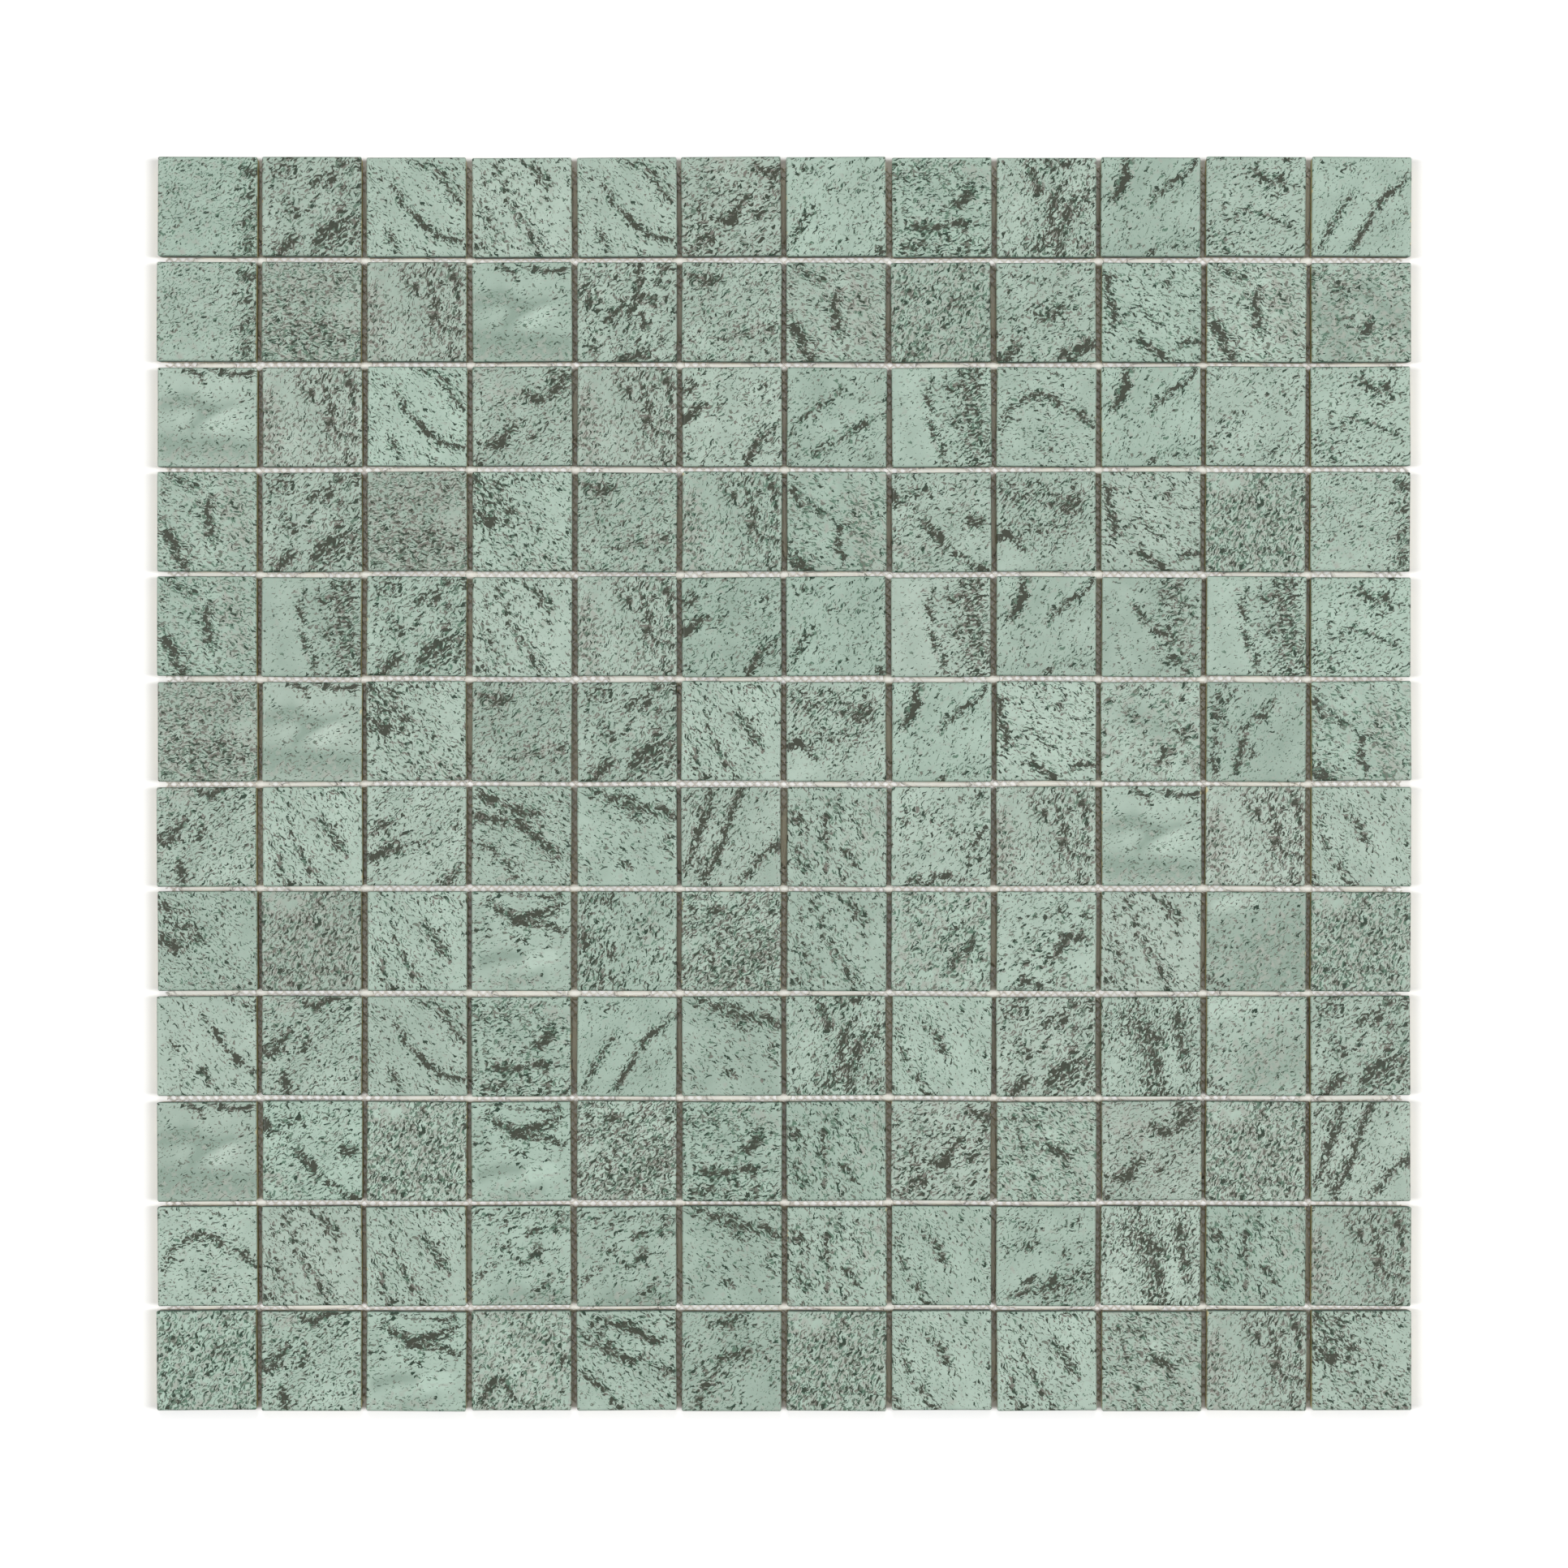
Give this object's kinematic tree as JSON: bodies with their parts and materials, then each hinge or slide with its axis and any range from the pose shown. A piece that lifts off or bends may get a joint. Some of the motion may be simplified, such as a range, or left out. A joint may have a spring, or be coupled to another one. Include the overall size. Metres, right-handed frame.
{
  "type": "mosaic tile sheet",
  "caption": "Square sheet of small stone-look glazed tiles with open joints, laid edge to edge on a fibre backing net.",
  "frame": {"origin": "centre of the tile field, on the underside of the backing net", "axes": "+Z out of the glazed faces, +X along the tile rows to the right, +Y towards the first row, which is the upper one in the picture"},
  "size_m": [0.2995, 0.2992, 0.0064],
  "materials": {
    "glazed_tile": "satin",
    "fibre_net": "matte"
  },
  "bodies": {
    "root": {"tile_row_01": "glazed_tile", "tile_row_02": "glazed_tile", "tile_row_03": "glazed_tile", "tile_row_04": "glazed_tile", "tile_row_05": "glazed_tile", "tile_row_06": "glazed_tile", "tile_row_07": "glazed_tile", "tile_row_08": "glazed_tile", "tile_row_09": "glazed_tile", "tile_row_10": "glazed_tile", "tile_row_11": "glazed_tile", "tile_row_12": "glazed_tile", "backing_net": "fibre_net"}
  },
  "joints": []
}
